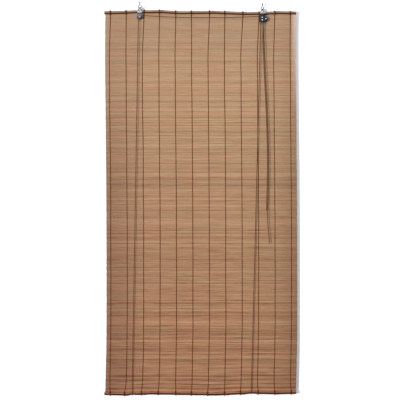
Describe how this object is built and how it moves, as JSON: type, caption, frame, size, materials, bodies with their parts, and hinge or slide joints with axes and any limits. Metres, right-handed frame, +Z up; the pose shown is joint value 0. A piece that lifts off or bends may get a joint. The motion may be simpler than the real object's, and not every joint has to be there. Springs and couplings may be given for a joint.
{
  "type": "bamboo roll up blind",
  "caption": "Roll up window blind: a mat of split bamboo between two canes, on two screw hooks, raised by cords through a pulley and a cord lock.",
  "frame": {"origin": "midway between the two hanging screws, level with the soffit that they are screwed into", "axes": "+X to the right seen from the room, +Z up; the face towards the room looks along -Y"},
  "size_m": [0.802, 0.0344, 1.6488],
  "materials": {
    "splints": "stained split bamboo, satin",
    "cane": "stained bamboo cane, satin",
    "thread": "twisted dark thread",
    "cord": "braided brown cord",
    "bright_steel": "bright plated",
    "galvanised_steel": "galvanised",
    "grey_steel": "blue-grey, satin",
    "black_plastic": "black moulding"
  },
  "bodies": {
    "frame": {"top_rail": "cane", "mat": "splints", "left_screw_hook": "bright_steel", "right_screw_hook": "bright_steel", "left_hanger": "galvanised_steel", "right_hanger": "galvanised_steel", "left_pulley_case": "grey_steel", "left_axle": "bright_steel", "lock_back_plate": "black_plastic", "lock_front_plate": "black_plastic", "lock_upper_pin": "bright_steel", "lock_lower_pin": "bright_steel", "lock_cam_pin": "bright_steel", "left_cord_knot": "cord", "right_cord_knot": "cord", "left_cord_back": "cord", "left_cord_front": "cord", "left_pull_cord": "cord", "right_cord_back": "cord", "right_cord_front": "cord", "right_pull_cord": "cord", "warp_thread_01": "thread", "warp_thread_02": "thread", "warp_thread_03": "thread", "warp_thread_04": "thread", "warp_thread_05": "thread", "warp_thread_06": "thread", "warp_thread_07": "thread", "warp_thread_08": "thread", "warp_thread_09": "thread", "warp_thread_10": "thread", "warp_thread_11": "thread", "warp_thread_12": "thread"},
    "bottom_rail": {"bottom_rail": "cane", "bottom_ties": "thread", "left_cord_loop": "cord", "right_cord_loop": "cord"},
    "left_wheel": {"left_wheel": "black_plastic"},
    "lock_upper_roller": {"lock_upper_roller": "black_plastic"},
    "lock_lower_roller": {"lock_lower_roller": "black_plastic"},
    "lock_cam": {"lock_cam": "black_plastic"}
  },
  "joints": [
    {"name": "blind_lift", "type": "slide", "parent": "frame", "child": "bottom_rail", "axis": [0, 0, 1], "range_m": [0, 1.42], "deforming": ["mat", "warp_thread_01", "warp_thread_02", "warp_thread_03", "warp_thread_04", "warp_thread_05", "warp_thread_06", "warp_thread_07", "warp_thread_08", "warp_thread_09", "warp_thread_10", "warp_thread_11", "warp_thread_12", "left_cord_back", "left_cord_front", "right_cord_back", "right_cord_front"]},
    {"name": "left_wheel_spin", "type": "hinge", "parent": "frame", "child": "left_wheel", "pos_m": [-0.25603, -0.0125, -0.0545], "axis": [0, 1, 0], "continuous": true},
    {"name": "upper_roller_spin", "type": "hinge", "parent": "frame", "child": "lock_upper_roller", "pos_m": [0.25453, -0.0125, -0.0575], "axis": [0, 1, 0], "continuous": true},
    {"name": "lower_roller_spin", "type": "hinge", "parent": "frame", "child": "lock_lower_roller", "pos_m": [0.25453, -0.0125, -0.0688], "axis": [0, 1, 0], "continuous": true},
    {"name": "cam_swing", "type": "hinge", "parent": "frame", "child": "lock_cam", "pos_m": [0.27003, -0.0125, -0.0635], "axis": [0, -1, 0], "range_deg": [0, 40]}
  ],
  "couplings": [
    {"joint": "left_wheel_spin", "follows": "blind_lift", "rad_per_m": 384.6},
    {"joint": "upper_roller_spin", "follows": "blind_lift", "rad_per_m": 392.2},
    {"joint": "lower_roller_spin", "follows": "blind_lift", "rad_per_m": 392.2}
  ]
}
